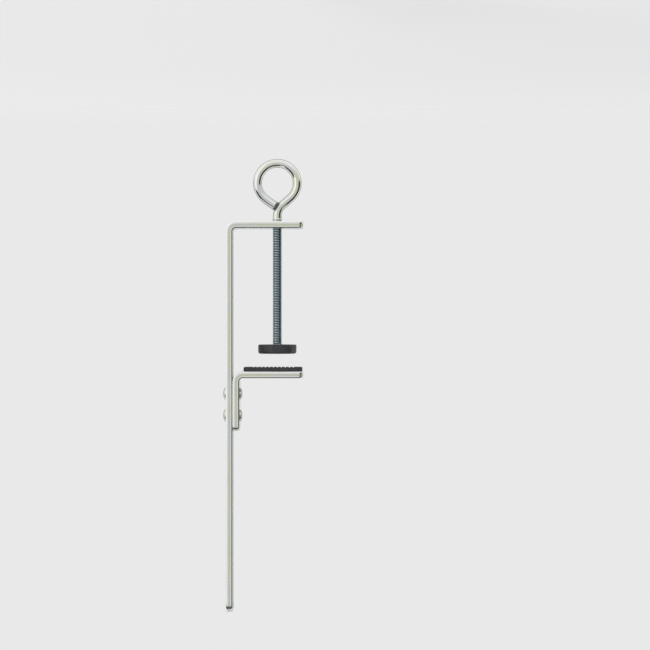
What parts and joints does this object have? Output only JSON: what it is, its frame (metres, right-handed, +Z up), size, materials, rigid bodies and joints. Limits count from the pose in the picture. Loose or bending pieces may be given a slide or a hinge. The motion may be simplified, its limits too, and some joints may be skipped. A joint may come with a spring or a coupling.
{
  "type": "table tennis net clamp",
  "caption": "Bent flat-steel net post with a screw clamp at its foot: a riveted upper jaw, and an eye screw with a swivelling pressure disc that grips the table edge.",
  "frame": {"origin": "on the plane of the table top, under the upper jaw's pad, on the axis of the eye screw", "axes": "+Z up the net post, away from the table top; the jaws point to -X, over the table; Y along the table's edge"},
  "size_m": [0.0479, 0.023, 0.2709],
  "materials": {
    "zinc_strip": "bright zinc-plated steel strip, faint yellow-green passivation",
    "zinc_wire": "bright zinc-plated steel wire with a rolled thread, slightly blue in the thread",
    "zinc_rivet": "bright zinc-plated steel",
    "zinc_disc": "zinc-plated pressed steel",
    "pad_rubber": "matt black rubber",
    "cap_vinyl": "satin black soft vinyl"
  },
  "bodies": {
    "frame": {"clamp_bar": "zinc_strip", "upper_jaw": "zinc_strip", "jaw_pad": "pad_rubber", "jaw_rivets": "zinc_rivet"},
    "pressure_pad": {"swivel_disc": "zinc_disc", "disc_cap": "cap_vinyl"},
    "screw": {"eye_screw": "zinc_wire"}
  },
  "joints": [
    {"name": "screw_travel", "type": "slide", "parent": "frame", "child": "pressure_pad", "axis": [0, 0, -1], "range_m": [0, 0.069]},
    {"name": "screw_turn", "type": "hinge", "parent": "pressure_pad", "child": "screw", "pos_m": [0, 0, -0.085], "axis": [0, 0, -1], "range_deg": [0, 24841]}
  ],
  "couplings": [
    {"joint": "screw_turn", "follows": "screw_travel", "rad_per_m": 6283.2}
  ]
}
